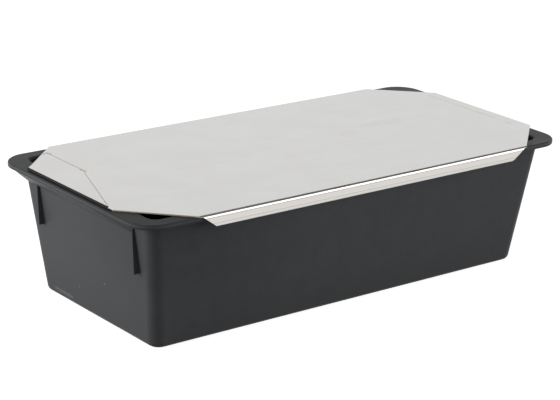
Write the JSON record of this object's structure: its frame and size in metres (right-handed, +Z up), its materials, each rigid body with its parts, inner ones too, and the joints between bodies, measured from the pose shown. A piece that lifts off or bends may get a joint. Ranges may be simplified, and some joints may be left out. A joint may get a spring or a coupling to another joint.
{
  "type": "loaf pan",
  "caption": "Rectangular loaf pan with drafted walls, flat rim and stacking ribs, closed by a folded sheet lid that slides along the rim.",
  "frame": {"origin": "middle of the underside of the base", "axes": "+X along the pan, away from the lid's tab; +Y across it; +Z up through the mouth"},
  "size_m": [0.3016, 0.1494, 0.0787],
  "materials": {
    "composite": "moulded dark grey fibre-filled composite, satin",
    "stainless": "mill-finish stainless sheet with faint baking stains"
  },
  "bodies": {
    "pan": {"pan_body": "composite"},
    "lid": {"slide_lid": "stainless"}
  },
  "joints": [
    {"name": "lid_slide", "type": "slide", "parent": "pan", "child": "lid", "axis": [1, 0, 0], "range_m": [-0.303, 0.3]}
  ]
}
